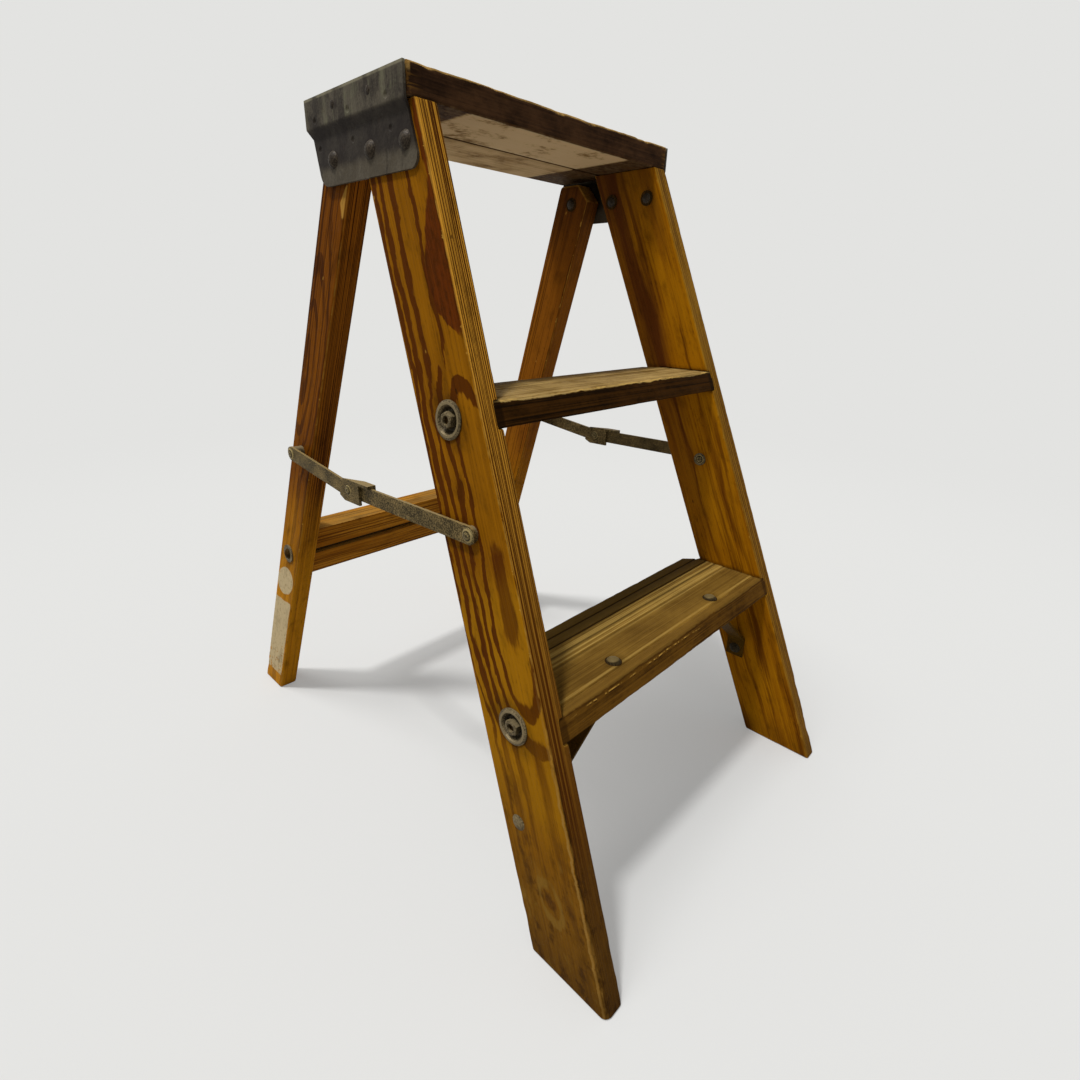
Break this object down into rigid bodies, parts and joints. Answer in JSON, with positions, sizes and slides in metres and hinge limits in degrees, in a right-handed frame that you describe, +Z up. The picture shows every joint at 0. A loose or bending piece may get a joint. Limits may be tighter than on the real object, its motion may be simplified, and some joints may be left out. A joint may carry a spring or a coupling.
{
  "type": "folding step stool",
  "caption": "Low wooden folding step stool with grooved treads and a flat top, steel corner brackets, truss rods under the treads and folding side spreaders.",
  "frame": {"origin": "on the floor, below the middle of the open stool's bounding box", "axes": "+Z up; +X towards the stool's right-hand rail as seen from the front; -Y towards the climber in front"},
  "size_m": [0.3886, 0.571, 0.61],
  "materials": {
    "rail_wood": "amber varnish over strongly figured softwood, worn at the edges",
    "step_wood": "varnish worn off to dull grey-tan wood",
    "top_wood": "dark varnish, splintered pale at the upper edges",
    "leg_wood": "amber varnish, straight grained",
    "bracket_steel": "dull dark galvanising with pale streaks",
    "rivet_steel": "dull domed steel, slightly brown",
    "spreader_steel": "dull olive-grey galvanising",
    "brace_steel": "dull dark steel",
    "rod_steel": "plain drawn steel",
    "zinc_steel": "dull zinc plating"
  },
  "bodies": {
    "front_frame": {"brace_bolts": "rivet_steel", "brace_nuts": "rivet_steel", "brace_rivets": "rivet_steel", "left_bracket": "bracket_steel", "left_bracket_rivets": "rivet_steel", "left_bracket_washers": "zinc_steel", "left_flange_nails": "rivet_steel", "left_front_pivot_rivet": "zinc_steel", "left_front_pivot_spacer": "zinc_steel", "left_front_pivot_washer": "zinc_steel", "left_hinge_rivet": "rivet_steel", "left_rail": "rail_wood", "left_step_brace": "brace_steel", "lower_cup_washers": "zinc_steel", "lower_rod_nuts": "zinc_steel", "lower_step": "step_wood", "lower_truss_rod": "rod_steel", "right_bracket": "bracket_steel", "right_bracket_rivets": "rivet_steel", "right_bracket_washers": "zinc_steel", "right_flange_nails": "rivet_steel", "right_front_pivot_rivet": "zinc_steel", "right_front_pivot_spacer": "zinc_steel", "right_front_pivot_washer": "zinc_steel", "right_hinge_rivet": "rivet_steel", "right_rail": "rail_wood", "right_step_brace": "brace_steel", "top_board": "top_wood", "upper_cup_washers": "zinc_steel", "upper_rod_nuts": "zinc_steel", "upper_step": "step_wood", "upper_truss_rod": "rod_steel"},
    "rear_frame": {"left_rear_leg": "leg_wood", "right_rear_leg": "leg_wood", "rear_cross_rail": "leg_wood", "rear_tie_rod": "rod_steel", "tie_rod_washers": "zinc_steel", "hinge_outer_washers": "zinc_steel", "hinge_inner_washers": "zinc_steel", "left_rear_pivot_stud": "zinc_steel", "left_rear_pivot_washer": "zinc_steel", "left_rear_pivot_spacer": "zinc_steel", "right_rear_pivot_stud": "zinc_steel", "right_rear_pivot_washer": "zinc_steel", "right_rear_pivot_spacer": "zinc_steel"},
    "left_spreader_front_arm": {"left_front_arm": "spreader_steel", "left_middle_rivet": "spreader_steel"},
    "left_spreader_rear_arm": {"left_rear_arm": "spreader_steel", "left_rear_pivot_rivet": "zinc_steel"},
    "right_spreader_front_arm": {"right_front_arm": "spreader_steel", "right_middle_rivet": "spreader_steel"},
    "right_spreader_rear_arm": {"right_rear_arm": "spreader_steel", "right_rear_pivot_rivet": "zinc_steel"}
  },
  "joints": [
    {"name": "rear_frame_fold", "type": "hinge", "parent": "front_frame", "child": "rear_frame", "pos_m": [0, 0.05843, 0.5665], "axis": [-1, 0, 0], "range_deg": [0, 42.31]},
    {"name": "left_front_arm_turn", "type": "hinge", "parent": "front_frame", "child": "left_spreader_front_arm", "pos_m": [0, -0.11932, 0.3155], "axis": [1, 0, 0], "range_deg": [0, 48.79]},
    {"name": "left_spreader_knee", "type": "hinge", "parent": "left_spreader_front_arm", "child": "left_spreader_rear_arm", "pos_m": [0, 0.0395, 0.31218], "axis": [-1, 0, 0], "range_deg": [0, 160.28]},
    {"name": "right_front_arm_turn", "type": "hinge", "parent": "front_frame", "child": "right_spreader_front_arm", "pos_m": [0, -0.11932, 0.3155], "axis": [1, 0, 0], "range_deg": [0, 48.79]},
    {"name": "right_spreader_knee", "type": "hinge", "parent": "right_spreader_front_arm", "child": "right_spreader_rear_arm", "pos_m": [0, 0.0395, 0.31218], "axis": [-1, 0, 0], "range_deg": [0, 160.28]}
  ],
  "couplings": [
    {"joint": "left_front_arm_turn", "follows": "rear_frame_fold", "ratio": 1.1531},
    {"joint": "left_spreader_knee", "follows": "rear_frame_fold", "ratio": 3.7878},
    {"joint": "right_front_arm_turn", "follows": "rear_frame_fold", "ratio": 1.1531},
    {"joint": "right_spreader_knee", "follows": "rear_frame_fold", "ratio": 3.7878}
  ]
}
